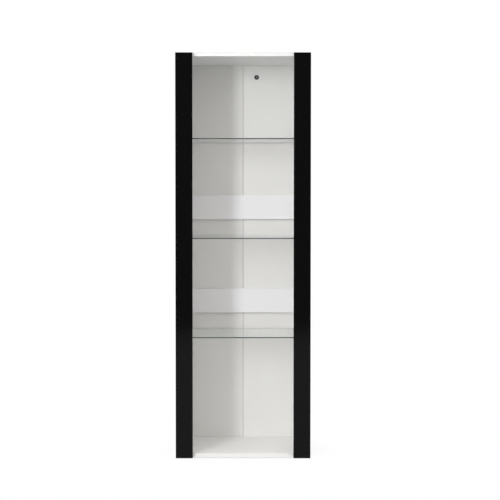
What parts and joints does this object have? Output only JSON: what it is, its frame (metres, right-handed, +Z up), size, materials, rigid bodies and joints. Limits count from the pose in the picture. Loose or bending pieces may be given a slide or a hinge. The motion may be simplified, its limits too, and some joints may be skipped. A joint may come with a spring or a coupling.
{
  "type": "display cabinet",
  "caption": "Tall free-standing display cabinet: white board carcass, glass shelves on pins, and a frameless glazed door between two gloss black stiles on concealed hinges.",
  "frame": {"origin": "on the floor, under the middle of the cabinet", "axes": "+Z up, -Y towards the front of the door, +X towards the opening side of the door as seen from the front"},
  "size_m": [0.6, 0.4, 1.8],
  "materials": {
    "white_board": "white melamine-faced chipboard, satin, edge banded",
    "hardboard_back": "thin hardboard, white foil on the inside and bare brown behind",
    "paper_tape": "brown gummed paper tape",
    "glide_plastic": "moulded plastic glide",
    "grommet_plastic": "moulded black plastic",
    "shelf_glass": "clear float glass with ground edges",
    "nickel_steel": "nickel-plated pressed steel",
    "latch_plastic": "moulded grey plastic",
    "black_gloss": "high-gloss black lacquered fibreboard",
    "door_glass": "clear float glass",
    "seal_rubber": "black extruded channel seal",
    "bumper_rubber": "clear soft bumper pad"
  },
  "bodies": {
    "carcass": {"side_panel_left": "white_board", "side_panel_right": "white_board", "top_panel": "white_board", "bottom_panel": "white_board", "cross_rail_lower": "white_board", "cross_rail_upper": "white_board", "back_panel_left": "hardboard_back", "back_panel_right": "hardboard_back", "back_seam_tape": "paper_tape", "floor_glide_front_left": "glide_plastic", "floor_glide_front_right": "glide_plastic", "floor_glide_rear_left": "glide_plastic", "floor_glide_rear_right": "glide_plastic", "cable_grommet": "grommet_plastic", "glass_shelf_lower": "shelf_glass", "glass_shelf_middle": "shelf_glass", "glass_shelf_upper": "shelf_glass", "shelf_pin_lower_front_left": "nickel_steel", "shelf_pin_lower_front_right": "nickel_steel", "shelf_pin_lower_rear_left": "nickel_steel", "shelf_pin_lower_rear_right": "nickel_steel", "shelf_pin_middle_front_left": "nickel_steel", "shelf_pin_middle_front_right": "nickel_steel", "shelf_pin_middle_rear_left": "nickel_steel", "shelf_pin_middle_rear_right": "nickel_steel", "shelf_pin_upper_front_left": "nickel_steel", "shelf_pin_upper_front_right": "nickel_steel", "shelf_pin_upper_rear_left": "nickel_steel", "shelf_pin_upper_rear_right": "nickel_steel", "hinge_1_arm": "nickel_steel", "hinge_1_plate": "nickel_steel", "hinge_2_arm": "nickel_steel", "hinge_2_plate": "nickel_steel", "hinge_3_arm": "nickel_steel", "hinge_3_plate": "nickel_steel", "hinge_4_arm": "nickel_steel", "hinge_4_plate": "nickel_steel", "latch_housing": "latch_plastic"},
    "door": {"door_stile_left": "black_gloss", "door_stile_right": "black_gloss", "door_glass": "door_glass", "glazing_seal_left": "seal_rubber", "glazing_seal_right": "seal_rubber", "hinge_1_cup": "nickel_steel", "hinge_1_pin": "nickel_steel", "hinge_2_cup": "nickel_steel", "hinge_2_pin": "nickel_steel", "hinge_3_cup": "nickel_steel", "hinge_3_pin": "nickel_steel", "hinge_4_cup": "nickel_steel", "hinge_4_pin": "nickel_steel", "latch_strike_plate": "nickel_steel", "door_bumper_bottom": "bumper_rubber", "door_bumper_top": "bumper_rubber"},
    "latch_plunger": {"latch_plunger": "latch_plastic"}
  },
  "joints": [
    {"name": "door_hinge", "type": "hinge", "parent": "carcass", "child": "door", "pos_m": [-0.29, -0.189, 0], "axis": [0, 0, -1], "range_deg": [0, 95]},
    {"name": "latch_slide", "type": "slide", "parent": "carcass", "child": "latch_plunger", "axis": [0, -1, 0], "range_m": [0, 0.012]}
  ],
  "couplings": [
    {"joint": "latch_slide", "follows": "door_hinge", "m_per_rad": 0.007}
  ]
}
